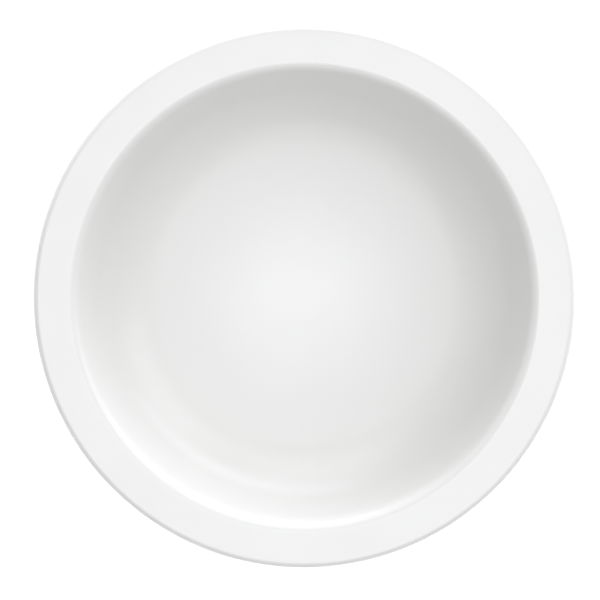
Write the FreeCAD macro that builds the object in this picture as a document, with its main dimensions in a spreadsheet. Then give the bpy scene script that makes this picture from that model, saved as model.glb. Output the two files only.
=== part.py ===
import FreeCAD, Part
import math
import os
from collections import namedtuple

import Sketcher

# Shallow evaporating dish of glazed hard porcelain, with a flat rim all round and a foot ring.
# The frame's origin is at the middle of the standing plane and +Z is the dish's axis.
# Every piece is turned from one section: x is the distance from the axis, y is the height.
# Sizes are millimetres and are those of the finished, glazed surface. The porcelain lies
# one coat of glaze under it, except at the foot's bare standing face.

SIZES = (
    ("rim_radius", 80.0, "outer edge of the rim"),
    ("overall_height", 29.0, "standing plane to the top of the rim"),
    ("rim_thickness", 4.4, "top to underside of the flat rim"),
    ("edge_rounding", 1.5, "upper and lower corner of the rim's outer edge"),
    ("land_inner_radius", 69.6, "where the flat top of the rim starts to turn down"),
    ("lip_rounding", 3.7, "turn from the flat rim into the well"),
    ("cove_centre_radius", 40.6, "centre of the curve between wall and floor, from the axis"),
    ("cove_centre_height", 33.75, "centre of that curve, above the standing plane"),
    ("cove_radius", 25.0, "curve between wall and floor"),
    ("floor_height", 5.2, "middle of the dished floor, the well's lowest point"),
    ("wall_thickness", 3.6, "wall and floor, glaze included"),
    ("rim_root_radius", 71.2, "where the rim's flat underside starts to turn down"),
    ("rim_root_fillet", 4.0, "turn from the rim's underside into the outer wall"),
    ("foot_outer_radius", 46.5, "outer side of the foot ring"),
    ("foot_inner_radius", 41.5, "inner side of the foot ring"),
    ("foot_root_fillet", 1.5, "turn from the dish's underside into the foot ring"),
    ("foot_edge_rounding", 0.8, "both edges of the bare standing face"),
    ("recess_height", 1.6, "middle of the underside, inside the foot ring"),
    ("recess_curve_radius", 262.0, "curvature of the underside inside the foot ring"),
    ("glaze_thickness", 0.25, "one coat of glaze"),
    ("coats_meet_below", 2.2, "where both coats meet on the outer edge, below the rim's top"),
    ("glaze_line_height", 1.1, "where the glaze ends on the porcelain of the foot ring"),
    ("glaze_taper", 0.5, "height over which the coat thins out there"),
)

FULL_TURN = 360.0
TOLERANCE = 1.0e-6
CENTRE = 3      # a sketch's number for an arc's centre point
ORIGIN = (-1, 1)
HEIGHT_AXIS = -2

Edge = namedtuple("Edge", "index start end")


class Measure:
    """A length in mm with the spreadsheet expression that gives it."""

    def __init__(self, value, text):
        self.value = value
        self.text = text

    def __add__(self, other):
        return Measure(self.value + other.value, f"({self.text} + {other.text})")

    def __sub__(self, other):
        return Measure(self.value - other.value, f"({self.text} - {other.text})")


size = {alias: Measure(value, "Sizes." + alias) for alias, value, _ in SIZES}
SURFACE = Measure(0.0, "0")
UNDER_GLAZE = size["glaze_thickness"]


def make_sheet(doc):
    """Write the driving dimensions, one row each: value with its alias, then what it is."""
    sheet = doc.addObject("Spreadsheet::Sheet", "Sizes")
    for row, (alias, value, meaning) in enumerate(SIZES, start=1):
        sheet.set(f"A{row}", str(value))
        sheet.setAlias(f"A{row}", alias)
        sheet.set(f"B{row}", meaning)
    doc.recompute()
    return sheet


def point(radius, height):
    """A point of the section from two measures or plain numbers."""
    numbers = [item.value if isinstance(item, Measure) else item for item in (radius, height)]
    return FreeCAD.Vector(numbers[0], numbers[1], 0.0)


class Outline:
    """The closed section of one piece, in a sketch on its body's own XZ plane."""

    def __init__(self, body):
        self.sketch = body.newObject("Sketcher::SketchObject", body.Name + "_section")
        plane = next(item for item in body.Origin.OriginFeatures if item.Role == "XZ_Plane")
        self.sketch.AttachmentSupport = (plane, [""])
        self.sketch.MapMode = "FlatFace"

    def line(self, start, end):
        """Draw a straight edge and return it."""
        return Edge(self.sketch.addGeometry(Part.LineSegment(start, end), False), 1, 2)

    def arc(self, start, centre, end, clockwise=False):
        """Draw an arc walked from start to end; a sketch stores every arc counter-clockwise."""
        first, last = (end, start) if clockwise else (start, end)
        angles = [math.atan2(spot.y - centre.y, spot.x - centre.x) for spot in (first, last)]
        circle = Part.Circle(centre, FreeCAD.Vector(0, 0, 1), (start - centre).Length)
        index = self.sketch.addGeometry(Part.ArcOfCircle(circle, *angles), False)
        return Edge(index, 2, 1) if clockwise else Edge(index, 1, 2)

    def rule(self, kind, *items):
        """Add a constraint that has no size."""
        self.sketch.addConstraint(Sketcher.Constraint(kind, *items))

    def drive(self, kind, items, measure, name):
        """Add a constraint whose size comes from the spreadsheet."""
        index = self.sketch.addConstraint(Sketcher.Constraint(kind, *items, measure.value))
        self.sketch.renameConstraint(index, name)
        self.sketch.setExpression("Constraints." + name, measure.text)

    def smooth(self, *edges):
        """Join each edge to the next with no corner."""
        for edge, following in zip(edges, edges[1:]):
            self.rule("Tangent", edge.index, edge.end, following.index, following.start)

    def join(self, first, first_end, second, second_end):
        """Join two edges' ends in a corner."""
        self.rule("Coincident", first.index, first_end, second.index, second_end)

    def place(self, edge, end, radius, height, name):
        """Fix a point of an edge by its distances from the axis and the standing plane."""
        self.drive("DistanceX", (*ORIGIN, edge.index, end), radius, name + "_radius")
        self.drive("DistanceY", (*ORIGIN, edge.index, end), height, name + "_height")

    def round_at(self, edge, centre, radius, name):
        """Fix an arc's centre and radius."""
        self.place(edge, CENTRE, *centre, name + "_centre")
        self.drive("Radius", (edge.index,), radius, name)

    def on_axis(self, edge, *ends):
        """Keep points of an edge on the dish's axis."""
        for end in ends:
            self.rule("PointOnObject", edge.index, end, HEIGHT_AXIS)

    def level(self, edge, end):
        """Keep an arc's end level with its centre, where the arc runs straight up or down."""
        self.rule("Horizontal", edge.index, end, edge.index, CENTRE)


def wall_normal(inner_centre, outer_centre, reach):
    """Unit vector across the wall line that passes between two arcs, away from the well.

    reach is the sum of both arcs' radii.
    """
    across = outer_centre - inner_centre
    angle = math.atan2(across.y, across.x) - math.acos(reach / across.Length)
    return FreeCAD.Vector(math.cos(angle), math.sin(angle), 0.0)


def beyond(centre, through, radius):
    """The point at a radius from a centre, on the way towards another point."""
    return centre + (through - centre).normalize() * radius


def cove_centre():
    return size["cove_centre_radius"], size["cove_centre_height"]


def floor_centre():
    """Centre of the dished floor's arc, found from the floor's middle and the cove it meets."""
    rise = size["cove_centre_height"].value - size["floor_height"].value
    cove = size["cove_radius"].value
    reach = size["cove_centre_radius"].value
    radius = (reach**2 + rise**2 - cove**2) / (2.0 * (rise - cove))
    return point(0.0, size["floor_height"].value + radius)


def inside_path(outline, depth, tag):
    """Well, rim land and upper outer corner, at a depth under the finished surface.

    Returns the first and last edge, from the axis outwards.
    """
    lip = (size["land_inner_radius"], size["overall_height"] - size["lip_rounding"])
    corner = (size["rim_radius"] - size["edge_rounding"],
              size["overall_height"] - size["edge_rounding"])
    cove_radius = size["cove_radius"] + depth
    lip_radius = size["lip_rounding"] - depth
    corner_radius = size["edge_rounding"] - depth
    across = wall_normal(point(*cove_centre()), point(*lip), cove_radius.value + lip_radius.value)
    top = size["overall_height"] - depth

    middle = point(0.0, size["floor_height"] - depth)
    floor_edge = beyond(floor_centre(), point(*cove_centre()),
                        (middle - floor_centre()).Length)
    wall_foot = point(*cove_centre()) + across * cove_radius.value
    wall_top = point(*lip) - across * lip_radius.value
    land_start = point(lip[0], top)
    land_end = point(corner[0], top)
    edge_top = point(size["rim_radius"] - depth, corner[1])

    floor = outline.arc(middle, floor_centre(), floor_edge)
    cove = outline.arc(floor_edge, point(*cove_centre()), wall_foot)
    wall = outline.line(wall_foot, wall_top)
    turn = outline.arc(wall_top, point(*lip), land_start, clockwise=True)
    land = outline.line(land_start, land_end)
    edge = outline.arc(land_end, point(*corner), edge_top, clockwise=True)

    outline.smooth(floor, cove, wall, turn, land, edge)
    outline.on_axis(floor, floor.start, CENTRE)
    outline.drive("DistanceY", (*ORIGIN, floor.index, floor.start),
                  size["floor_height"] - depth, tag + "_floor_height")
    outline.round_at(cove, cove_centre(), cove_radius, tag + "_cove")
    outline.round_at(turn, lip, lip_radius, tag + "_lip")
    outline.round_at(edge, corner, corner_radius, tag + "_upper_corner")
    outline.level(edge, edge.end)
    return floor, edge


def outside_path(outline, depth, tag):
    """Lower outer corner, rim underside, outer wall and foot root, at a depth under the surface.

    Returns the first and last edge, from the rim down to the foot.
    """
    underside = size["overall_height"] - size["rim_thickness"]
    corner = (size["rim_radius"] - size["edge_rounding"], underside + size["edge_rounding"])
    root = (size["rim_root_radius"], underside - size["rim_root_fillet"])
    corner_radius = size["edge_rounding"] - depth
    root_radius = size["rim_root_fillet"] + depth
    shell_radius = size["cove_radius"] + size["wall_thickness"] - depth
    foot_fillet = size["foot_root_fillet"] + depth
    across = wall_normal(point(*cove_centre()), point(*root),
                         root_radius.value + shell_radius.value)

    hub = point(*cove_centre())
    fillet_x = size["foot_outer_radius"] + size["foot_root_fillet"]
    reach = shell_radius.value + foot_fillet.value
    fillet_centre = point(fillet_x, hub.y - math.sqrt(reach**2 - (fillet_x.value - hub.x)**2))

    edge_bottom = point(size["rim_radius"] - depth, corner[1])
    underside_start = point(corner[0], underside + depth)
    underside_end = point(root[0], underside + depth)
    wall_top = point(*root) - across * root_radius.value
    wall_foot = hub + across * shell_radius.value
    shell_end = beyond(hub, fillet_centre, shell_radius.value)
    foot_top = point(size["foot_outer_radius"] - depth, fillet_centre.y)

    edge = outline.arc(edge_bottom, point(*corner), underside_start, clockwise=True)
    under = outline.line(underside_start, underside_end)
    turn = outline.arc(underside_end, point(*root), wall_top)
    wall = outline.line(wall_top, wall_foot)
    shell = outline.arc(wall_foot, hub, shell_end, clockwise=True)
    fillet = outline.arc(shell_end, fillet_centre, foot_top)

    outline.smooth(edge, under, turn, wall, shell, fillet)
    outline.round_at(edge, corner, corner_radius, tag + "_lower_corner")
    outline.level(edge, edge.start)
    outline.round_at(turn, root, root_radius, tag + "_rim_root")
    outline.round_at(shell, cove_centre(), shell_radius, tag + "_shell")
    outline.drive("Radius", (fillet.index,), foot_fillet, tag + "_foot_fillet")
    outline.drive("DistanceX", (*ORIGIN, fillet.index, CENTRE), fillet_x,
                  tag + "_foot_fillet_radius")
    outline.level(fillet, fillet.end)
    return edge, fillet


def recess_path(outline, depth, tag):
    """Inner foot root and the underside inside the foot ring, at a depth under the surface.

    Returns the first and last edge, from the foot to the axis.
    """
    roof_radius = size["recess_curve_radius"] - depth
    roof_centre = point(0.0, size["recess_height"] + size["recess_curve_radius"])
    fillet_radius = size["foot_root_fillet"] + depth
    fillet_x = size["foot_inner_radius"] - size["foot_root_fillet"]
    reach = roof_radius.value + fillet_radius.value
    fillet_centre = point(fillet_x, roof_centre.y - math.sqrt(reach**2 - fillet_x.value**2))

    foot_top = point(size["foot_inner_radius"] + depth, fillet_centre.y)
    roof_edge = beyond(roof_centre, fillet_centre, roof_radius.value)
    middle = point(0.0, size["recess_height"] + depth)

    fillet = outline.arc(foot_top, fillet_centre, roof_edge)
    roof = outline.arc(roof_edge, roof_centre, middle, clockwise=True)

    outline.smooth(fillet, roof)
    outline.drive("Radius", (fillet.index,), fillet_radius, tag + "_recess_fillet")
    outline.drive("DistanceX", (*ORIGIN, fillet.index, CENTRE), fillet_x,
                  tag + "_recess_fillet_radius")
    outline.level(fillet, fillet.start)
    outline.on_axis(roof, roof.end, CENTRE)
    outline.drive("Radius", (roof.index,), roof_radius, tag + "_recess")
    outline.drive("DistanceY", (*ORIGIN, roof.index, roof.end),
                  size["recess_height"] + depth, tag + "_recess_height")
    return fillet, roof


def end_of(outline, edge, end):
    """Where a point of an edge lies now."""
    return outline.sketch.getPoint(edge.index, end)


def foot_path(outline, upper, lower):
    """The bare foot ring, drawn between the outer shell's last edge and the recess's first."""
    outer_top = end_of(outline, upper, upper.end)
    inner_top = end_of(outline, lower, lower.start)
    rounding = size["foot_edge_rounding"]
    outer_face = point(outer_top.x - rounding.value, 0.0)
    inner_face = point(inner_top.x + rounding.value, 0.0)
    lift = FreeCAD.Vector(0, rounding.value, 0)

    outer_side = outline.line(outer_top, point(outer_top.x, rounding))
    outer_round = outline.arc(point(outer_top.x, rounding), outer_face + lift, outer_face,
                              clockwise=True)
    face = outline.line(outer_face, inner_face)
    inner_round = outline.arc(inner_face, inner_face + lift, point(inner_top.x, rounding),
                              clockwise=True)
    inner_side = outline.line(point(inner_top.x, rounding), inner_top)

    outline.smooth(upper, outer_side, outer_round, face, inner_round, inner_side, lower)
    outline.drive("Radius", (outer_round.index,), rounding, "foot_outer_rounding")
    outline.drive("Radius", (inner_round.index,), rounding, "foot_inner_rounding")
    outline.rule("Horizontal", face.index)
    outline.rule("PointOnObject", face.index, face.start, -1)


def close(outline, first, first_end, second, second_end):
    """Draw the straight edge between two free ends and return it."""
    edge = outline.line(end_of(outline, first, first_end), end_of(outline, second, second_end))
    outline.join(first, first_end, edge, edge.start)
    outline.join(edge, edge.end, second, second_end)
    return edge


def plumb(outline, edge, end, height, name):
    """Draw a plumb line from an edge's end to a height and return it."""
    top = end_of(outline, edge, end)
    side = outline.line(top, point(top.x, height))
    outline.join(edge, end, side, side.start)
    outline.rule("Vertical", side.index)
    outline.drive("DistanceY", (*ORIGIN, side.index, side.end), height, name)
    return side


def draw_porcelain_body(outline):
    """Whole section of the fired body: everything one coat of glaze under the finished surface."""
    floor, upper_corner = inside_path(outline, UNDER_GLAZE, "body")
    lower_corner, foot_fillet = outside_path(outline, UNDER_GLAZE, "body")
    recess_fillet, roof = recess_path(outline, UNDER_GLAZE, "body")
    close(outline, upper_corner, upper_corner.end, lower_corner, lower_corner.start)
    foot_path(outline, foot_fillet, recess_fillet)
    close(outline, roof, roof.end, floor, floor.start)


def draw_inside_glaze(outline):
    """Coat over the well and the rim's top, down to the middle of the outer edge."""
    meeting = size["overall_height"] - size["coats_meet_below"]
    sides = []
    floors = []
    for depth, tag in ((SURFACE, "surface"), (UNDER_GLAZE, "bond")):
        floor, corner = inside_path(outline, depth, tag)
        floors.append(floor)
        sides.append(plumb(outline, corner, corner.end, meeting, tag + "_meeting"))
    close(outline, sides[0], sides[0].end, sides[1], sides[1].end)
    close(outline, floors[0], floors[0].start, floors[1], floors[1].start)


def draw_outside_glaze(outline):
    """Coat from the middle of the outer edge down to the glaze line on the foot."""
    meeting = size["overall_height"] - size["coats_meet_below"]
    ends = (size["glaze_line_height"] + size["glaze_taper"], size["glaze_line_height"])
    sides = []
    feet = []
    for depth, tag, end in zip((SURFACE, UNDER_GLAZE), ("surface", "bond"), ends):
        corner, fillet = outside_path(outline, depth, tag)
        sides.append(plumb(outline, corner, corner.start, meeting, tag + "_meeting"))
        feet.append(plumb(outline, fillet, fillet.end, end, tag + "_glaze_line"))
    close(outline, sides[0], sides[0].end, sides[1], sides[1].end)
    close(outline, feet[0], feet[0].end, feet[1], feet[1].end)


def draw_recess_glaze(outline):
    """Coat inside the foot ring, ending at the same glaze line."""
    ends = (size["glaze_line_height"] + size["glaze_taper"], size["glaze_line_height"])
    feet = []
    roofs = []
    for depth, tag, end in zip((SURFACE, UNDER_GLAZE), ("surface", "bond"), ends):
        fillet, roof = recess_path(outline, depth, tag)
        roofs.append(roof)
        feet.append(plumb(outline, fillet, fillet.start, end, tag + "_glaze_line"))
    close(outline, feet[0], feet[0].end, feet[1], feet[1].end)
    close(outline, roofs[0], roofs[0].end, roofs[1], roofs[1].end)


def turned_piece(doc, name, draw):
    """Make a body whose section is drawn by the given function and turned about the axis."""
    body = doc.addObject("PartDesign::Body", name)
    body.Label = name
    body.Placement = FreeCAD.Placement()
    outline = Outline(body)
    draw(outline)
    turning = body.newObject("PartDesign::Revolution", name + "_turning")
    turning.Profile = outline.sketch
    turning.ReferenceAxis = (outline.sketch, ["V_Axis"])
    turning.Angle = FULL_TURN
    body.Tip = turning
    return body


def check(doc, bodies):
    """Stop if anything failed, if a sketch is loose or if two pieces share space."""
    for item in doc.Objects:
        if "Invalid" in item.State or "Error" in item.State:
            raise RuntimeError(f"{item.Name} failed: {item.State}")
        if item.TypeId == "Sketcher::SketchObject" and not item.FullyConstrained:
            raise RuntimeError(f"{item.Name} is not fully constrained")
    for body in bodies:
        if body.Shape.isNull() or not body.Shape.isValid() or len(body.Shape.Solids) != 1:
            raise RuntimeError(f"{body.Label} is not one valid solid")
    for index, body in enumerate(bodies):
        for other in bodies[index + 1:]:
            if body.Shape.common(other.Shape).Volume > TOLERANCE:
                raise RuntimeError(f"{body.Label} and {other.Label} overlap")


def main():
    doc = FreeCAD.newDocument("EvaporatingDish")
    make_sheet(doc)
    bodies = [
        turned_piece(doc, "porcelain_body", draw_porcelain_body),
        turned_piece(doc, "inside_glaze", draw_inside_glaze),
        turned_piece(doc, "outside_glaze", draw_outside_glaze),
        turned_piece(doc, "recess_glaze", draw_recess_glaze),
    ]
    doc.recompute()
    check(doc, bodies)
    os.makedirs("parts", exist_ok=True)
    for body in bodies:
        body.Shape.exportStep(f"parts/{body.Label}.step")
        box = body.Shape.optimalBoundingBox(False, False)
        print(f"{body.Label}: {body.Shape.Volume / 1000.0:.2f} cm3,"
              f" diameter {box.XLength:.2f}, height {box.ZMin:.2f} to {box.ZMax:.2f}")


main()
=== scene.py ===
"""Looks of a shallow porcelain evaporating dish: its fired body and its three coats of glaze.

Every size is in metres, in the dish's own frame: the origin is in the middle of the standing
plane and +Z is the dish's axis. The dish is turned from one section, so each piece is drawn as
a path of distance from the axis and height, and is then spun round the axis with the small
unevenness of fired, hand-dipped ware.
"""

import logging
import math
from collections.abc import Callable, Mapping, Sequence
from dataclasses import dataclass
from enum import Enum
from typing import Any

import bmesh
import bpy
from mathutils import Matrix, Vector, noise


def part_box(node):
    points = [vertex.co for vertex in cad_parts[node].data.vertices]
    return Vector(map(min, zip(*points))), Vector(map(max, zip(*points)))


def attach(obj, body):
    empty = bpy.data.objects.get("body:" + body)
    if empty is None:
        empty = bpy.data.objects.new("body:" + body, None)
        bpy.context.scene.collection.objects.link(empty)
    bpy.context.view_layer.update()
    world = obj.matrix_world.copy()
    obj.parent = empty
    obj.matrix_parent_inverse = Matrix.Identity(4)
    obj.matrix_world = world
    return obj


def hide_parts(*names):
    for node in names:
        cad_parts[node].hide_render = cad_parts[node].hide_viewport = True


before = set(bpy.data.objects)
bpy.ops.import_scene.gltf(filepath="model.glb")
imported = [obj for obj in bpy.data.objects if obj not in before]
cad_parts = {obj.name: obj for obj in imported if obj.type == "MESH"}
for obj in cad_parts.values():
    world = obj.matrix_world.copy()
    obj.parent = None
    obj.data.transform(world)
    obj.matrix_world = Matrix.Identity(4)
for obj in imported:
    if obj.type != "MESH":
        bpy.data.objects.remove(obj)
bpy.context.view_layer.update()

LOG = logging.getLogger("evaporating_dish")
MM = 0.001
QUARTER_TURN = math.pi / 2.0
FULL_TURN = 2.0 * math.pi

Point = tuple[float, float]
Colour = tuple[float, float, float]

# Standing plane to the middle of the underside, inside the foot ring.
RECESS_RISE = 1.6 * MM

# Steps along each stretch of the section, at full detail.
STEPS = {
    "floor": 34,
    "cove": 26,
    "wall": 8,
    "lip": 26,
    "land": 14,
    "upper corner": 14,
    "lower corner": 10,
    "rim underside": 6,
    "rim root": 12,
    "outer wall": 8,
    "shell": 20,
    "foot root": 10,
    "foot outer side": 6,
    "foot inner side": 4,
    "recess": 30,
    "foot edge": 8,
    "foot face": 6,
}


# --------------------------------------------------------------------------------------------
# Section of the dish
# --------------------------------------------------------------------------------------------


def spaced(first: float, last: float, count: int) -> list[float]:
    """Evenly spaced numbers, both ends included.

    Args:
        first: The first number.
        last: The last number.
        count: How many steps lie between them.

    Returns:
        The numbers, one more than the steps.
    """
    return [first + (last - first) * step / count for step in range(count + 1)]


def steps(stretch: str, detail: float) -> int:
    """Number of steps along a named stretch at a level of detail, and at least two."""
    return max(2, round(STEPS[stretch] * detail))


def arc(centre: Point, radius: float, first: float, last: float, count: int) -> list[Point]:
    """Points along an arc.

    Args:
        centre: The arc's centre, as distance from the axis and height.
        radius: The arc's radius.
        first: Angle of the first point in radians, counter-clockwise from outwards.
        last: Angle of the last point.
        count: How many steps to take.

    Returns:
        The points, both ends included.
    """
    return [
        (centre[0] + radius * math.cos(angle), centre[1] + radius * math.sin(angle))
        for angle in spaced(first, last, count)
    ]


def straight(first: Point, last: Point, count: int) -> list[Point]:
    """Points along a straight stretch, both ends included.

    Steps are short at the ends, so that the shading of the turns beside it doesn't run into it.

    Args:
        first: The first point.
        last: The last point.
        count: How many steps to take.

    Returns:
        The points.
    """
    shares = [0.5 - 0.5 * math.cos(angle) for angle in spaced(0.0, math.pi, count)]
    run, rise = last[0] - first[0], last[1] - first[1]
    return [(first[0] + run * share, first[1] + rise * share) for share in shares]


def chained(*stretches: Sequence[Point]) -> list[Point]:
    """Join stretches end to end, dropping the points that repeat.

    Args:
        *stretches: Paths in order, each starting where the one before it ends.

    Returns:
        One path.
    """
    path = list(stretches[0])
    for stretch in stretches[1:]:
        path.extend(stretch[1:])
    return path


def heading(centre: Point, towards: Point) -> float:
    """Angle in radians of the way from one point to another."""
    return math.atan2(towards[1] - centre[1], towards[0] - centre[0])


@dataclass(frozen=True)
class Section:
    """Finished, glazed section of the dish, from which every piece is drawn.

    Attributes:
        rim_radius: Outer edge of the rim.
        height: Standing plane to the top of the rim.
        floor: Height of the middle of the dished floor.
        recess: Height of the middle of the underside, inside the foot ring.
        glaze: Thickness of one coat.
        rim_thickness: Top of the rim to its underside.
        edge_rounding: Radius of both corners of the rim's outer edge.
        land_inner_radius: Where the flat land of the rim starts.
        lip_rounding: Radius of the turn from the land down into the well.
        cove_centre: Centre of the cove between the floor and the wall.
        cove_radius: Radius of the cove.
        wall: Thickness of the cove and the wall, glazed on both sides.
        rim_root_radius: Where the rim's underside starts to turn into the outer wall.
        rim_root_fillet: Radius of that turn.
        foot_outer_radius: Outer side of the foot ring.
        foot_inner_radius: Inner side of the foot ring.
        foot_root_fillet: Radius where either side of the foot ring meets the underside.
        foot_edge_rounding: Radius of both edges of the standing face.
        recess_curve: Radius of the dished underside.
        coats_meet_below: Top of the rim to where the inside and outside coats meet.
    """

    rim_radius: float
    height: float
    floor: float
    recess: float
    glaze: float
    rim_thickness: float = 4.4 * MM
    edge_rounding: float = 1.5 * MM
    land_inner_radius: float = 69.6 * MM
    lip_rounding: float = 3.7 * MM
    cove_centre: Point = (40.6 * MM, 33.75 * MM)
    cove_radius: float = 25.0 * MM
    wall: float = 3.6 * MM
    rim_root_radius: float = 71.2 * MM
    rim_root_fillet: float = 4.0 * MM
    foot_outer_radius: float = 46.5 * MM
    foot_inner_radius: float = 41.5 * MM
    foot_root_fillet: float = 1.5 * MM
    foot_edge_rounding: float = 0.8 * MM
    recess_curve: float = 262.0 * MM
    coats_meet_below: float = 2.2 * MM

    @classmethod
    def from_frame(cls) -> "Section":
        """Read the main sizes from the CAD nodes' boxes.

        Returns:
            The section, with the CAD model's own outer sizes.
        """
        coat_low, coat_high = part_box("inside_glaze")
        body_low, body_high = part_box("porcelain_body")
        recess_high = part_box("recess_glaze")[1]
        glaze = coat_high.z - body_high.z
        LOG.info("recess glaze reaches up to %.2f mm", recess_high.z / MM)
        return cls(
            rim_radius=coat_high.x,
            height=coat_high.z,
            floor=coat_low.z + glaze,
            recess=RECESS_RISE + body_low.z,
            glaze=glaze,
        )

    @property
    def floor_curve(self) -> float:
        """Radius of the dished floor, which meets the cove with no corner.

        Returns:
            The radius.
        """
        rise = self.cove_centre[1] - self.floor
        reach = self.cove_centre[0]
        return (reach**2 + rise**2 - self.cove_radius**2) / (2.0 * (rise - self.cove_radius))

    def wall_slope(self, outer: Point, reach: float) -> float:
        """Angle in radians of the way square to a wall, from the cove's centre through it.

        Args:
            outer: Centre of the arc at the wall's upper end.
            reach: Sum of the radii of the arcs at both ends of the wall.

        Returns:
            The angle, counter-clockwise from outwards.
        """
        distance = math.dist(self.cove_centre, outer)
        return heading(self.cove_centre, outer) - math.acos(reach / distance)

    def inside(self, depth: float, detail: float) -> list[Point]:
        """Well, rim land and upper outer corner, down to where the coats meet.

        Args:
            depth: How far under the finished surface the path lies.
            detail: Multiplies the number of steps.

        Returns:
            The path, from the axis outwards.
        """
        lip = (self.land_inner_radius, self.height - self.lip_rounding)
        corner = (self.rim_radius - self.edge_rounding, self.height - self.edge_rounding)
        lip_radius = self.lip_rounding - depth
        cove_radius = self.cove_radius + depth
        slope = self.wall_slope(lip, lip_radius + cove_radius)
        floor_centre = (0.0, self.floor + self.floor_curve)
        floor_edge = heading(floor_centre, self.cove_centre)
        floor_radius = self.floor_curve + depth
        corner_radius = self.edge_rounding - depth

        floor = arc(floor_centre, floor_radius, -QUARTER_TURN, floor_edge, steps("floor", detail))
        cove = arc(self.cove_centre, cove_radius, floor_edge, slope, steps("cove", detail))
        lip_turn = arc(lip, lip_radius, slope + math.pi, QUARTER_TURN, steps("lip", detail))
        corner_turn = arc(corner, corner_radius, QUARTER_TURN, 0.0, steps("upper corner", detail))
        meeting = (self.rim_radius - depth, self.height - self.coats_meet_below)
        return chained(
            floor,
            cove,
            straight(cove[-1], lip_turn[0], steps("wall", detail)),
            lip_turn,
            straight(lip_turn[-1], corner_turn[0], steps("land", detail)),
            corner_turn,
            straight(corner_turn[-1], meeting, 1),
        )

    def outside(self, depth: float, end: float, detail: float) -> list[Point]:
        """Lower outer corner, rim underside, outer wall and foot root, down to a height.

        Args:
            depth: How far under the finished surface the path lies.
            end: Height at which the path stops on the foot ring's outer side.
            detail: Multiplies the number of steps.

        Returns:
            The path, from where the coats meet down to the foot.
        """
        underside = self.height - self.rim_thickness
        corner = (self.rim_radius - self.edge_rounding, underside + self.edge_rounding)
        root = (self.rim_root_radius, underside - self.rim_root_fillet)
        root_radius = self.rim_root_fillet + depth
        shell_radius = self.cove_radius + self.wall - depth
        slope = self.wall_slope(root, root_radius + shell_radius)
        fillet_radius = self.foot_root_fillet + depth
        fillet_x = self.foot_outer_radius + self.foot_root_fillet
        reach = shell_radius + fillet_radius
        drop = math.sqrt(reach**2 - (fillet_x - self.cove_centre[0]) ** 2)
        fillet = (fillet_x, self.cove_centre[1] - drop)
        shell_end = heading(self.cove_centre, fillet)
        corner_radius = self.edge_rounding - depth

        meeting = (self.rim_radius - depth, self.height - self.coats_meet_below)
        corner_turn = arc(corner, corner_radius, 0.0, -QUARTER_TURN, steps("lower corner", detail))
        root_turn = arc(root, root_radius, QUARTER_TURN, slope + math.pi, steps("rim root", detail))
        shell = arc(self.cove_centre, shell_radius, slope, shell_end, steps("shell", detail))
        fillet_start = shell_end + math.pi
        fillet_turn = arc(fillet, fillet_radius, fillet_start, math.pi, steps("foot root", detail))
        return chained(
            straight(meeting, corner_turn[0], 1),
            corner_turn,
            straight(corner_turn[-1], root_turn[0], steps("rim underside", detail)),
            root_turn,
            straight(root_turn[-1], shell[0], steps("outer wall", detail)),
            shell,
            fillet_turn,
            straight(fillet_turn[-1], (fillet_turn[-1][0], end), steps("foot outer side", detail)),
        )

    def under(self, depth: float, start: float, detail: float) -> list[Point]:
        """Inner side of the foot ring and the underside inside it.

        Args:
            depth: How far under the finished surface the path lies.
            start: Height at which the path starts on the foot ring's inner side.
            detail: Multiplies the number of steps.

        Returns:
            The path, from the foot ring to the axis.
        """
        roof_radius = self.recess_curve - depth
        roof_centre = (0.0, self.recess + self.recess_curve)
        fillet_radius = self.foot_root_fillet + depth
        fillet_x = self.foot_inner_radius - self.foot_root_fillet
        reach = roof_radius + fillet_radius
        fillet = (fillet_x, roof_centre[1] - math.sqrt(reach**2 - fillet_x**2))
        roof_edge = heading(roof_centre, fillet)

        fillet_end = roof_edge + math.pi
        fillet_turn = arc(fillet, fillet_radius, 0.0, fillet_end, steps("foot root", detail))
        roof = arc(roof_centre, roof_radius, roof_edge, -QUARTER_TURN, steps("recess", detail))
        foot = (fillet_turn[0][0], start)
        side = straight(foot, fillet_turn[0], steps("foot inner side", detail))
        return chained(side, fillet_turn, roof)

    def foot(self, detail: float) -> list[Point]:
        """Bare foot ring, from the top of its outer side round to the top of its inner side.

        Args:
            detail: Multiplies the number of steps.

        Returns:
            The path.
        """
        rounding = self.foot_edge_rounding
        outer = self.foot_outer_radius - self.glaze - rounding
        inner = self.foot_inner_radius + self.glaze + rounding
        edge = steps("foot edge", detail)
        outer_turn = arc((outer, rounding), rounding, 0.0, -QUARTER_TURN, edge)
        inner_turn = arc((inner, rounding), rounding, -QUARTER_TURN, -math.pi, edge)
        face = straight(outer_turn[-1], inner_turn[0], steps("foot face", detail))
        return chained(outer_turn, face, inner_turn)


# --------------------------------------------------------------------------------------------
# Turned meshes
# --------------------------------------------------------------------------------------------


def placed(name: str, data: bpy.types.ID) -> bpy.types.Object:
    """Put a new object into the scene.

    Args:
        name: The object's name.
        data: Its mesh, light or camera.

    Returns:
        The object.
    """
    made = bpy.data.objects.new(name, data)
    bpy.context.scene.collection.objects.link(made)
    return made


@dataclass(frozen=True)
class Unevenness:
    """How far a fired surface strays from the turned one.

    Attributes:
        depth: Largest dip under the turned surface.
        spread: Distance over which the dips come and go.
        broad_share: How far the broad dips sway the depth.
        fine_share: How far the fine dips sway it.
        fine_scale: How many times finer the fine dips are.
    """

    depth: float
    spread: float
    broad_share: float = 0.55
    fine_share: float = 0.2
    fine_scale: float = 2.7

    def dip(self, place: Vector) -> float:
        """How deep the surface lies at a place, never proud of the turned one.

        Args:
            place: A point of the turned surface.

        Returns:
            The depth, from nought to the largest dip.
        """
        scaled = place / self.spread
        sway = 0.5 + self.broad_share * noise.noise(scaled)
        sway += self.fine_share * noise.noise(scaled * self.fine_scale)
        return self.depth * min(1.0, max(0.0, sway))


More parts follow.
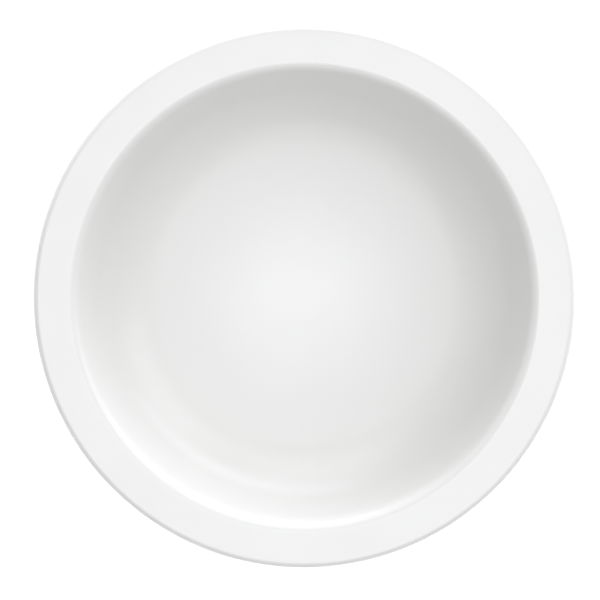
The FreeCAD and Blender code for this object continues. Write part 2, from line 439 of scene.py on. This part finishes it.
@dataclass
class TurnedMesh:
    """A closed mesh spun from paths about the dish's axis.

    Attributes:
        name: Name of the object and its mesh.
        segments: Number of steps round the axis.
        sharp_angle: Angle in degrees between two faces from which their edge is sharp.
        on_axis: Distance from the axis under which a point counts as on it.
    """

    name: str
    segments: int = 288
    sharp_angle: float = 38.0
    on_axis: float = 1.0e-9

    def spin(
        self,
        shell: Callable[[float], list[Point]],
        uneven: Sequence[Unevenness | None],
    ) -> bpy.types.Object:
        """Spin a closed path round the axis.

        Args:
            shell: Gives the closed path at an angle round the axis. Its number of points is the
                same at every angle, and points on the axis stand only at its ends.
            uneven: For each point of the path, the unevenness of its surface, or None.

        Returns:
            The new object, smooth but for its sharp edges.
        """
        mesh = bmesh.new()
        angles = [FULL_TURN * step / self.segments for step in range(self.segments)]
        paths = [shell(angle) for angle in angles]
        loops = []
        for index, kind in enumerate(uneven):
            radius, height = paths[0][index]
            if radius < self.on_axis:
                loops.append([mesh.verts.new(Vector((0.0, 0.0, height)))])
                continue
            turns = zip(paths, angles)
            loops.append([self._vertex(mesh, path, index, angle, kind) for path, angle in turns])
        for first, second in zip(loops, loops[1:] + loops[:1]):
            self._skin(mesh, first, second)
        bmesh.ops.recalc_face_normals(mesh, faces=mesh.faces)
        data = bpy.data.meshes.new(self.name)
        mesh.to_mesh(data)
        mesh.free()
        data.shade_smooth()
        data.set_sharp_from_angle(angle=math.radians(self.sharp_angle))
        return placed(self.name, data)

    def _vertex(
        self,
        mesh: bmesh.types.BMesh,
        path: Sequence[Point],
        index: int,
        angle: float,
        kind: Unevenness | None,
    ) -> bmesh.types.BMVert:
        """Add one vertex, sunk into the piece by its surface's unevenness.

        Args:
            mesh: The mesh to add to.
            path: The closed path at this angle.
            index: Which of its points to add.
            angle: The angle round the axis.
            kind: The unevenness of the surface, or None.

        Returns:
            The new vertex.
        """
        radius, height = path[index]
        outwards = Vector((math.cos(angle), math.sin(angle), 0.0))
        place = outwards * radius + Vector((0.0, 0.0, height))
        if kind is not None:
            before, after = path[index - 1], path[(index + 1) % len(path)]
            run = Vector((after[0] - before[0], after[1] - before[1]))
            run.normalize()
            inwards = outwards * run.y - Vector((0.0, 0.0, run.x))
            place += inwards * kind.dip(place)
        return mesh.verts.new(place)

    @staticmethod
    def _skin(
        mesh: bmesh.types.BMesh,
        first: list[bmesh.types.BMVert],
        second: list[bmesh.types.BMVert],
    ) -> None:
        """Fill the band between two rings, or a ring and a pole.

        Args:
            mesh: The mesh to add to.
            first: One ring, or a single vertex on the axis.
            second: The other.
        """
        count = max(len(first), len(second))
        if count == 1:
            return
        for step in range(count):
            following = (step + 1) % count
            if len(first) == 1:
                mesh.faces.new((first[0], second[step], second[following]))
            elif len(second) == 1:
                mesh.faces.new((first[step], first[following], second[0]))
            else:
                mesh.faces.new((first[step], first[following], second[following], second[step]))


# --------------------------------------------------------------------------------------------
# Shader tools
# --------------------------------------------------------------------------------------------


class Value:
    """A number in a shader, on which sums are written as Python expressions."""

    def __init__(self, shader: "Shader", socket: bpy.types.NodeSocket) -> None:
        """Wrap a socket.

        Args:
            shader: The shader that the socket belongs to.
            socket: The output socket that gives the number.
        """
        self.shader = shader
        self.socket = socket

    def maths(self, operation: str, *others: "Value | float") -> "Value":
        """Add a Math node that starts from this number.

        Args:
            operation: The Math node's operation.
            *others: Its other inputs.

        Returns:
            The result.
        """
        return self.shader.number("ShaderNodeMath", {"operation": operation}, [self, *others])

    def __add__(self, other: "Value | float") -> "Value":
        """This number plus another."""
        return self.maths("ADD", other)

    def __radd__(self, other: float) -> "Value":
        """A plain number plus this one."""
        return self.maths("ADD", other)

    def __sub__(self, other: "Value | float") -> "Value":
        """This number less another."""
        return self.maths("SUBTRACT", other)

    def __rsub__(self, other: float) -> "Value":
        """A plain number less this one."""
        return self.shader.number("ShaderNodeMath", {"operation": "SUBTRACT"}, [other, self])

    def __mul__(self, other: "Value | float") -> "Value":
        """This number times another."""
        return self.maths("MULTIPLY", other)

    def __rmul__(self, other: float) -> "Value":
        """A plain number times this one."""
        return self.maths("MULTIPLY", other)

    def swung(self, middle: float, swing: float) -> "Value":
        """A number that swings about its middle as this noise swings about a half."""
        return middle + swing * (self - 0.5)

    def fade(self, low: float, high: float) -> "Value":
        """Ease from nought at one value of this number to one at another.

        Args:
            low: Where the result is nought.
            high: Where the result is one. It may be less than low.

        Returns:
            The eased number, between nought and one.
        """
        settings = {"interpolation_type": "SMOOTHSTEP", "clamp": True}
        ends = (0.0, 1.0)
        if high < low:
            low, high, ends = high, low, (1.0, 0.0)
        sockets = {"Value": self, "From Min": low, "From Max": high, "To Min": ends[0], "To Max": ends[1]}
        return self.shader.number("ShaderNodeMapRange", settings, sockets)

    def band(self, low: float, high: float, soft: float) -> "Value":
        """One between two values of this number and nought beyond, with soft ends.

        Args:
            low: Lower end of the band.
            high: Upper end of the band.
            soft: Width over which each end fades.

        Returns:
            The mask.
        """
        return self.fade(low - soft, low + soft) * self.fade(high + soft, high - soft)


class Shader:
    """One material's node tree."""

    def __init__(self, name: str) -> None:
        """Start an empty material.

        Args:
            name: The material's name.
        """
        self.material = bpy.data.materials.new(name)
        self.material.use_nodes = True
        self.tree = self.material.node_tree
        self.tree.nodes.clear()
        self.place = self.node("ShaderNodeTexCoord").outputs["Object"]

    def node(
        self,
        kind: str,
        settings: Mapping[str, Any] | None = None,
        sockets: Mapping[str | int, Any] | Sequence[Any] = (),
    ) -> bpy.types.Node:
        """Add any node.

        Args:
            kind: The node's type.
            settings: Its own settings.
            sockets: Values or links of its input sockets, by name or in order.

        Returns:
            The new node.
        """
        made = self.tree.nodes.new(kind)
        for name, setting in (settings or {}).items():
            setattr(made, name, setting)
        pairs = sockets.items() if isinstance(sockets, Mapping) else enumerate(sockets)
        for key, given in pairs:
            target = made.inputs[key]
            if isinstance(given, Value):
                given = given.socket
            if isinstance(given, bpy.types.NodeSocket):
                self.tree.links.new(given, target)
            elif isinstance(given, tuple) and len(given) == 3 and target.type == "RGBA":
                target.default_value = (*given, 1.0)
            else:
                target.default_value = given
        return made

    def number(
        self,
        kind: str,
        settings: Mapping[str, Any] | None = None,
        sockets: Mapping[str | int, Any] | Sequence[Any] = (),
        output: str | int = 0,
    ) -> Value:
        """Add a node and wrap one of its outputs as a number.

        Args:
            kind: The node's type.
            settings: Its own settings.
            sockets: Values or links of its input sockets.
            output: Which output to wrap.

        Returns:
            The number.
        """
        return Value(self, self.node(kind, settings, sockets).outputs[output])

    def height(self) -> Value:
        """Height of the shaded point above the standing plane, in metres."""
        return self.number("ShaderNodeSeparateXYZ", sockets=[self.place], output="Z")

    def from_axis(self) -> Value:
        """Distance of the shaded point from the dish's axis, in metres.

        Returns:
            The distance.
        """
        sockets = [self.place, (1.0, 1.0, 0.0)]
        flat = self.node("ShaderNodeVectorMath", {"operation": "MULTIPLY"}, sockets)
        settings = {"operation": "LENGTH"}
        return self.number("ShaderNodeVectorMath", settings, [flat.outputs["Vector"]], "Value")

    def grain(self, spread: float, detail: float = 2.0, rough: float = 0.5) -> Value:
        """Even, formless noise.

        Args:
            spread: Size of the noise's features in metres.
            detail: How many finer layers it has.
            rough: How strong the finer layers are.

        Returns:
            The noise, mostly between 0.3 and 0.7.
        """
        sockets = {"Vector": self.place, "Scale": 1.0 / spread, "Detail": detail, "Roughness": rough}
        return self.number("ShaderNodeTexNoise", {"noise_dimensions": "3D"}, sockets, "Fac")

    def mix(self, share: Value, first: Any, second: Any) -> bpy.types.NodeSocket:
        """Mix two colours.

        Args:
            share: How much of the second to take, from nought to one.
            first: The first colour or colour socket.
            second: The second.

        Returns:
            The mixed colour's socket.
        """
        made = self.node("ShaderNodeMix", {"data_type": "RGBA", "blend_type": "MIX"})
        colours = [item for item in made.inputs if item.type == "RGBA"]
        self.tree.links.new(share.socket, made.inputs[0])
        for target, given in zip(colours, (first, second)):
            if isinstance(given, bpy.types.NodeSocket):
                self.tree.links.new(given, target)
            else:
                target.default_value = (*given, 1.0)
        return next(item for item in made.outputs if item.type == "RGBA")

    def bump(self, height: Value, distance: float, under: Any = None) -> bpy.types.NodeSocket:
        """Turn a height into a shading normal.

        Args:
            height: The height, between nought and one.
            distance: How tall a height of one is, in metres.
            under: The normal socket of another bump that it lies on, or None.

        Returns:
            The normal's socket.
        """
        sockets: dict[str | int, Any] = {"Height": height, "Distance": distance, "Strength": 1.0}
        if under is not None:
            sockets["Normal"] = under
        return self.node("ShaderNodeBump", sockets=sockets).outputs["Normal"]

    def finish(self, sockets: Mapping[str, Any]) -> bpy.types.Material:
        """Close the tree with its surface shader and output.

        Args:
            sockets: Values or links of the surface shader's sockets.

        Returns:
            The finished material.
        """
        surface = self.node("ShaderNodeBsdfPrincipled", sockets=sockets)
        self.node("ShaderNodeOutputMaterial", sockets=[surface.outputs["BSDF"]])
        return self.material


# --------------------------------------------------------------------------------------------
# Finishes
# --------------------------------------------------------------------------------------------


class GlazePlace(Enum):
    """Where on the dish a coat of glaze lies."""

    INSIDE = "inside"
    OUTSIDE = "outside"
    RECESS = "recess"


@dataclass(frozen=True)
class GlazeFinish:
    """Clear glaze over white porcelain.

    Attributes:
        place: Where the coat lies.
        section: The dish's section, which says where the glaze gathers thick, with painted shade, and
            where it thins.
        tint: Its colour where it has its usual thickness.
        pooled_and_shaded: Its colour where it ran together and is thick, darker and warmer: partly the
            real thick glaze, partly painted shade in the hollow turns.
        thin: Its colour where it drew back from an edge.
        gloss: Roughness where it is cleanest.
        clouding: How much rougher it gets in places.
        roughness_drift: How far its roughness drifts besides.
        peel: Height of its fine ripple.
        peel_size: Size of that ripple.
        rings: Height of the turning rings that show through.
        cloud_size: Size of its clouded patches.
        drift_size: Size of the patches over which it drifts.
        pool_and_shade_share: How far the thick glaze in the hollows takes that darker, warmer colour,
            which is partly painted shade.
        pool_and_shade_swing: How much that share swings.
        thin_share: How far thin glaze takes the thin colour.
        thin_swing: How much that share swings.
        shade: Brightness of the clouded patches, as a share of the tint.
        refraction: Its index of refraction.
    """

    place: GlazePlace
    section: Section
    tint: Colour = (0.805, 0.801, 0.773)
    # Darker, warmer colour of the hollow turns: partly thick glaze, partly painted shade.
    pooled_and_shaded: Colour = (0.799, 0.794, 0.761)
    thin: Colour = (0.812, 0.808, 0.784)
    gloss: float = 0.29
    clouding: float = 0.05
    roughness_drift: float = 0.02
    peel: float = 0.004 * MM
    peel_size: float = 2.6 * MM
    rings: float = 0.0
    cloud_size: float = 26.0 * MM
    drift_size: float = 9.0 * MM
    pool_and_shade_share: float = 0.55
    pool_and_shade_swing: float = 0.9
    thin_share: float = 0.8
    thin_swing: float = 0.8
    shade: float = 0.985
    refraction: float = 1.5

    def pools_and_shade(self, shader: Shader) -> Value:
        """Where the glaze is thick and shade is painted as a darker, warmer colour: in the hollow turns
        of the section.

        Args:
            shader: The shader to add to.

        Returns:
            The mask.
        """
        radius = shader.from_axis()
        if self.place is GlazePlace.INSIDE:
            start, end, soft = 46.0 * MM, 57.0 * MM, 5.0 * MM
            return radius.band(start, end, soft)
        if self.place is GlazePlace.OUTSIDE:
            near, far, soft, foot_share = 0.5 * MM, 2.5 * MM, 1.2 * MM, 0.8
            root = self.section.rim_root_radius
            foot = self.section.foot_outer_radius
            under_rim = radius.band(root - far, root + near, soft)
            return under_rim + radius.fade(foot + far, foot + near) * foot_share
        near, far = 1.5 * MM, 5.0 * MM
        foot = self.section.foot_inner_radius
        return radius.fade(foot - far, foot - near)

    def edges(self, shader: Shader) -> Value:
        """Where the glaze is thin: on the proud turns of the section.

        Args:
            shader: The shader to add to.

        Returns:
            The mask.
        """
        if self.place is GlazePlace.RECESS:
            full_coat, glaze_line = 2.4 * MM, 1.4 * MM
            return shader.height().fade(full_coat, glaze_line)
        radius = shader.from_axis()
        near, far = 0.3 * MM, 1.6 * MM
        rim = self.section.rim_radius
        outer = radius.fade(rim - far, rim - near)
        if self.place is GlazePlace.OUTSIDE:
            return outer
        near, far, soft = 0.6 * MM, 2.2 * MM, 0.7 * MM
        lip = self.section.land_inner_radius
        return outer + radius.band(lip - far, lip - near, soft)

    def dress(self, name: str) -> bpy.types.Material:
        """Make the material.

        Args:
            name: The material's name.

        Returns:
            The material.
        """
        cloud_from, cloud_full, cloud_share, clean_cloud = 0.52, 0.78, 0.35, 0.35
        shader = Shader(name)
        cloud = shader.grain(self.cloud_size, 3.0)
        drift = shader.grain(self.drift_size, 2.0)
        # Darker, warmer colour in the hollow turns: partly thick glaze, partly painted shade.
        pooled_and_shaded = self.pools_and_shade(shader) * drift.swung(self.pool_and_shade_share, self.pool_and_shade_swing)
        thin = self.edges(shader) * cloud.swung(self.thin_share, self.thin_swing)
        colour = shader.mix(pooled_and_shaded, self.tint, self.pooled_and_shaded)
        colour = shader.mix(thin, colour, self.thin)
        shade = tuple(self.shade * part for part in self.tint)
        colour = shader.mix(cloud.fade(cloud_from, cloud_full) * cloud_share, colour, shade)
        if self.place is not GlazePlace.INSIDE:
            colour = self._speckle(shader, colour)
        roughness = self.gloss + self.clouding * (cloud - clean_cloud)
        roughness = roughness + self.roughness_drift * (drift - 0.5)
        normal = shader.bump(shader.grain(self.peel_size, 1.0), self.peel)
        if self.rings > 0.0:
            normal = shader.bump(self._turning(shader), self.rings, normal)
        return shader.finish(
            {
                "Base Color": colour,
                "Roughness": roughness,
                "Normal": normal,
                "IOR": self.refraction,
            }
        )

    @staticmethod
    def _turning(shader: Shader) -> Value:
        """Rings left by the turning tool, softened by the glaze over them.

        Args:
            shader: The shader to add to.

        Returns:
            The rings' height.
        """
        pitch, wander, wander_size, patch_size = 1.9 * MM, 1.6 * MM, 30.0 * MM, 12.0 * MM
        climb_share = 0.6
        along = shader.from_axis() + climb_share * shader.height()
        along = along + shader.grain(wander_size, 1.0) * wander
        wave = (along * (FULL_TURN / pitch)).maths("SINE")
        return 0.5 + 0.5 * wave * shader.grain(patch_size, 1.0)

    @staticmethod
    def _speckle(shader: Shader, colour: bpy.types.NodeSocket) -> bpy.types.NodeSocket:
        """Scatter the few tiny specks that fired clay shows on its outside.

        Args:
            shader: The shader to add to.
            colour: The glaze's colour.

        Returns:
            The colour with specks.
        """
        spacing, edge, core, strength = 6.5 * MM, 0.026, 0.012, 0.4
        none_below, speck_above = 0.80, 0.82
        tint = (0.52, 0.49, 0.44)
        sockets = {"Vector": shader.place, "Scale": 1.0 / spacing, "Randomness": 1.0}
        cells = shader.node("ShaderNodeTexVoronoi", {"feature": "F1"}, sockets)
        dot = Value(shader, cells.outputs["Distance"]).fade(edge, core)
        chance = shader.number("ShaderNodeSeparateColor", sockets=[cells.outputs["Color"]])
        return shader.mix(dot * chance.fade(none_below, speck_above) * strength, colour, tint)


@dataclass(frozen=True)
class BareFinish:
    """Fired porcelain with no glaze: the foot ring's standing face.

    Attributes:
        tint: Its colour.
        rubbed: Its colour where it has stood and been slid about.
        shade: Brightness of its darker grains, as a share of the tint.
        roughness: Its roughness.
        grain: Height of its fine grain.
        grain_size: Size of that grain.
        cloud_size: Size of the patches where it is rubbed.
        groove_pitch: Spacing of the grinding grooves.
        groove_wander: How far the grooves stray.
    """

    tint: Colour = (0.74, 0.722, 0.685)
    rubbed: Colour = (0.58, 0.565, 0.54)
    shade: float = 0.94
    roughness: float = 0.72
    grain: float = 0.03 * MM
    grain_size: float = 0.35 * MM
    cloud_size: float = 7.0 * MM
    groove_pitch: float = 0.42 * MM
    groove_wander: float = 0.5 * MM

    def dress(self, name: str) -> bpy.types.Material:
        """Make the material.

        Args:
            name: The material's name.

        Returns:
            The material.
        """
        face_top, face_bottom = 0.5 * MM, 0.1 * MM
        rubbed_from, rubbed_full, rubbed_share, rubbed_swing = 0.46, 0.66, 0.35, 0.3
        grain_from, grain_full, grain_share, groove_share = 0.35, 0.7, 0.5, 0.25
        smoothing, roughening = 0.12, 0.1
        shader = Shader(name)
        fine = shader.grain(self.grain_size, 3.0, 0.6)
        cloud = shader.grain(self.cloud_size, 2.0)
        grooves = (shader.from_axis() + cloud * self.groove_wander) * (FULL_TURN / self.groove_pitch)
        ground = grooves.maths("SINE")
        standing = shader.height().fade(face_top, face_bottom)
        rubbed = standing * cloud.fade(rubbed_from, rubbed_full)
        rubbed = rubbed * (rubbed_share + rubbed_swing * ground)
        shade = tuple(self.shade * part for part in self.tint)
        colour = shader.mix(fine.fade(grain_from, grain_full) * grain_share, self.tint, shade)
        colour = shader.mix(rubbed, colour, self.rubbed)
        normal = shader.bump(fine + standing * ground * groove_share, self.grain)
        roughness = self.roughness - smoothing * rubbed + roughening * (fine - 0.5)
        return shader.finish({"Base Color": colour, "Roughness": roughness, "Normal": normal})


# --------------------------------------------------------------------------------------------
# The dish
# --------------------------------------------------------------------------------------------


OUTER_LINE_SEED = 3.0
INNER_LINE_SEED = 11.0


@dataclass
class Dish:
    """The dish: its fired body and three coats of glaze, each a piece of its own.

    Attributes:
        section: The turned section.
        glaze_line: Lowest height of the glaze's lower edge on the foot ring.
        glaze_taper: Height over which the coat thins out there.
        line_wander: How far the glaze line sways up from that height.
        bond_detail: Share of the full detail used for the hidden faces under the glaze.
        coat: Unevenness of the inside and outside coats.
        outer_rings: Height of the turning rings under the outside coat.
        recess_rings: Height of the turning rings under the recess coat.
    """

    section: Section
    glaze_line: float = 1.1 * MM
    glaze_taper: float = 0.5 * MM
    line_wander: float = 0.5 * MM
    bond_detail: float = 0.4
    coat: Unevenness = Unevenness(0.035 * MM, 17.0 * MM)
    outer_rings: float = 0.012 * MM
    recess_rings: float = 0.018 * MM

    def line_height(self, angle: float, seed: float) -> float:
        """Height of the glaze line at an angle round the axis.

        Args:
            angle: The angle in radians.
            seed: Tells the outer line from the inner one.

        Returns:
            The height.
        """
        broad_scale, broad_share, fine_scale, fine_share = 1.7, 0.5, 7.0, 0.22
        around = Vector((math.cos(angle), math.sin(angle), seed))
        sway = 0.5 + broad_share * noise.noise(around * broad_scale)
        sway += fine_share * noise.noise(around * fine_scale)
        return self.glaze_line + self.line_wander * max(0.0, sway)

    def inside_coat(self) -> bpy.types.Object:
        """Build the coat over the well, the rim land and the upper half of the outer edge.

        Returns:
            The coat.
        """
        surface = self.section.inside(0.0, 1.0)
        bond = self.section.inside(self.section.glaze, self.bond_detail)
        path = surface + bond[::-1]
        kinds = [self.coat] * len(surface) + [None] * len(bond)
        kinds[0] = None
        return TurnedMesh("well_and_rim_glaze").spin(lambda angle: path, kinds)

    def outside_coat(self) -> bpy.types.Object:
        """Build the coat from the lower half of the outer edge down to the glaze line.

        Returns:
            The coat.
        """
        section = self.section

        def path(angle: float) -> list[Point]:
            """Draw the closed path at an angle.

            Args:
                angle: The angle round the axis, in radians.

            Returns:
                The path.
            """
            end = self.line_height(angle, OUTER_LINE_SEED)
            surface = section.outside(0.0, end + self.glaze_taper, 1.0)
            bond = section.outside(section.glaze, end, self.bond_detail)
            return surface + bond[::-1]

        surface_count = len(section.outside(0.0, self.glaze_line, 1.0))
        bond_count = len(section.outside(section.glaze, self.glaze_line, self.bond_detail))
        kinds = [self.coat] * surface_count + [None] * bond_count
        return TurnedMesh("outer_wall_glaze").spin(path, kinds)

    def recess_coat(self) -> bpy.types.Object:
        """Build the coat inside the foot ring.

        Returns:
            The coat.
        """
        section = self.section

        def path(angle: float) -> list[Point]:
            """Draw the closed path at an angle.

            Args:
                angle: The angle round the axis, in radians.

            Returns:
                The path.
            """
            end = self.line_height(angle, INNER_LINE_SEED)
            surface = section.under(0.0, end + self.glaze_taper, 1.0)
            bond = section.under(section.glaze, end, self.bond_detail)
            return surface[::-1] + bond

        surface_count = len(section.under(0.0, self.glaze_line, 1.0))
        bond_count = len(section.under(section.glaze, self.glaze_line, self.bond_detail))
        return TurnedMesh("foot_recess_glaze").spin(path, [None] * (surface_count + bond_count))

    def body(self) -> bpy.types.Object:
        """Build the fired body, which shows only where the foot ring is bare.

        Returns:
            The body.
        """
        section = self.section
        depth = section.glaze
        foot = section.foot(1.0)
        path = chained(
            section.inside(depth, self.bond_detail),
            section.outside(depth, foot[0][1], self.bond_detail),
            foot,
            section.under(depth, foot[-1][1], self.bond_detail),
        )
        return TurnedMesh("fired_body").spin(lambda angle: path, [None] * len(path))

    def build(self) -> list[bpy.types.Object]:
        """Build and dress every piece, hang it under the root body, and hide the CAD node that it stands
        in for.

        Returns:
            The pieces.
        """
        section = self.section
        inside = GlazeFinish(GlazePlace.INSIDE, section)
        outside = GlazeFinish(GlazePlace.OUTSIDE, section, rings=self.outer_rings)
        recess = GlazeFinish(GlazePlace.RECESS, section, rings=self.recess_rings)
        pieces = (
            (self.inside_coat(), "inside_glaze", inside),
            (self.outside_coat(), "outside_glaze", outside),
            (self.recess_coat(), "recess_glaze", recess),
            (self.body(), "porcelain_body", BareFinish()),
        )
        for piece, node, finish in pieces:
            piece.data.materials.append(finish.dress(piece.name + "_finish"))
            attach(piece, "root")
            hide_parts(node)
        return [piece for piece, _, _ in pieces]


# --------------------------------------------------------------------------------------------
# Studio
# --------------------------------------------------------------------------------------------


def direction(azimuth: float, elevation: float) -> Vector:
    """Unit vector towards an azimuth and elevation.

    Args:
        azimuth: Degrees round the dish's axis, counter-clockwise from +X.
        elevation: Degrees above the table.

    Returns:
        The vector.
    """
    turn = math.radians(azimuth)
    rise = math.radians(elevation)
    flat = math.cos(rise)
    return Vector((flat * math.cos(turn), flat * math.sin(turn), math.sin(rise)))


@dataclass(frozen=True)
class SoftBox:
    """A soft box: an evenly lit panel turned towards the dish, hidden from the camera.

    Attributes:
        name: The light's name.
        azimuth: Degrees round the dish's axis, counter-clockwise from +X.
        elevation: Degrees above the table.
        width: Width of the panel in metres.
        height: Height of the panel in metres.
        strength: Light it throws on a surface turned to face it, where one is full daylight white.
        colour: Its colour.
        distance: How far it stands from the dish in metres.
    """

    name: str
    azimuth: float
    elevation: float
    width: float
    height: float
    strength: float
    colour: Colour = (0.985, 0.996, 1.06)
    distance: float = 2.4

    def build(self) -> None:
        """Make the light."""
        data = bpy.data.lights.new(self.name, "AREA")
        data.shape = "RECTANGLE"
        data.size = self.width
        data.size_y = self.height
        data.energy = self.strength * (math.pi * self.distance) ** 2
        data.color = self.colour
        light = placed(self.name, data)
        way = direction(self.azimuth, self.elevation)
        light.location = way * self.distance
        light.rotation_mode = "QUATERNION"
        light.rotation_quaternion = way.to_track_quat("Z", "Y")
        light.visible_camera = False


@dataclass
class Studio:
    """Pale table, soft light and the camera above the dish.

    Attributes:
        section: The dish's section, which gives the camera its distance.
        lean: Degrees by which the camera leans from straight above.
        lean_towards: Azimuth in degrees that it leans towards.
        distance_in_radii: Its distance from the dish, in radii of the rim.
        view_half_width: Half the width that it sees at the dish, in radii of the rim.
        aim_in_radii: What it aims at, sideways and forwards of the axis, in radii of the rim.
        view_depth: How far it sees, in metres.
        ambient: Strength of the light from all round.
        ambient_colour: Colour of that light.
        table_half_width: Half the width of the table, in metres.
        table_drop: How far the table lies under the standing plane.
        table_tint: Colour of the table.
        table_roughness: Roughness of the table.
        table_light: Strength of the light that falls on the table alone.
        table_light_angle: How wide that light looks from the table, in degrees.
        lights: The soft boxes.
    """

    section: Section
    lean: float = 3.0
    lean_towards: float = 118.0
    distance_in_radii: float = 14.0
    view_half_width: float = 1.105
    aim_in_radii: Point = (-0.0183, -0.0076)
    view_depth: float = 10.0
    ambient: float = 0.30
    ambient_colour: Colour = (1.0, 0.988, 0.945)
    table_half_width: float = 1.6
    table_drop: float = 0.02 * MM
    table_tint: Colour = (0.93, 0.93, 0.93)
    table_roughness: float = 0.9
    table_light: float = 0.36
    table_light_angle: float = 4.0
    lights: tuple[SoftBox, ...] = (
        SoftBox("low_window", 68.0, 7.5, 3.8, 0.55, 0.572),
        SoftBox("right_bank", 30.0, 40.0, 1.6, 1.6, 0.235),
        SoftBox("left_bank", 95.0, 40.0, 1.6, 1.6, 0.220),
        SoftBox("overhead", 300.0, 87.0, 0.7, 0.7, 0.210),
        SoftBox("front_fill", 262.0, 60.0, 1.8, 1.8, 0.222),
        SoftBox("edge_glow", 88.0, 1.6, 3.2, 0.08, 0.25),
    )

    def table(self) -> None:
        """Make the pale table the dish stands on, and light it."""
        half = self.table_half_width
        mesh = bmesh.new()
        corners = ((-half, -half), (half, -half), (half, half), (-half, half))
        mesh.faces.new([mesh.verts.new((x, y, -self.table_drop)) for x, y in corners])
        data = bpy.data.meshes.new("table")
        mesh.to_mesh(data)
        mesh.free()
        table = placed("table", data)
        paint = {"Base Color": self.table_tint, "Roughness": self.table_roughness}
        table.data.materials.append(Shader("table_paint").finish(paint))
        self.light_table(table)

    def light_table(self, table: bpy.types.Object) -> None:
        """Light the table alone, from the camera's side, so that it reads white.

        Args:
            table: The table's object.
        """
        data = bpy.data.lights.new("table_wash", "SUN")
        data.angle = math.radians(self.table_light_angle)
        data.energy = self.table_light * math.pi
        wash = placed("table_wash", data)
        way = direction(self.lean_towards, 90.0 - self.lean)
        wash.rotation_mode = "QUATERNION"
        wash.rotation_quaternion = way.to_track_quat("Z", "Y")
        lit = bpy.data.collections.new("lit_by_table_wash")
        lit.objects.link(table)
        wash.light_linking.receiver_collection = lit

    def camera(self) -> None:
        """Make the camera, almost straight above the dish."""
        data = bpy.data.cameras.new("camera")
        camera = placed("camera", data)
        way = direction(self.lean_towards, 90.0 - self.lean)
        radius = self.section.rim_radius
        aim = Vector((*self.aim_in_radii, 0.0)) * radius + Vector((0.0, 0.0, self.section.height))
        distance = self.distance_in_radii * radius
        camera.location = aim + way * distance
        camera.rotation_mode = "QUATERNION"
        camera.rotation_quaternion = Vector((0.0, 0.0, 1.0)).rotation_difference(way)
        data.angle = 2.0 * math.atan(self.view_half_width / self.distance_in_radii)
        data.clip_end = self.view_depth
        bpy.context.scene.camera = camera

    def build(self) -> None:
        """Make everything round the dish."""
        scene = bpy.context.scene
        scene.view_settings.view_transform = "Standard"
        world = bpy.data.worlds.new("studio")
        world.use_nodes = True
        sky = world.node_tree.nodes["Background"]
        sky.inputs["Color"].default_value = (*self.ambient_colour, 1.0)
        sky.inputs["Strength"].default_value = self.ambient
        scene.world = world
        self.camera()
        self.table()
        for light in self.lights:
            light.build()


def main() -> None:
    """Build the dish and the studio."""
    logging.basicConfig(level=logging.INFO, format="%(name)s: %(message)s")
    section = Section.from_frame()
    for piece in Dish(section).build():
        LOG.info("%s: %d faces", piece.name, len(piece.data.polygons))
    studio = Studio(section)
    studio.build()
    LOG.info("studio: %d soft boxes", len(studio.lights))


if __name__ == "__main__":
    main()
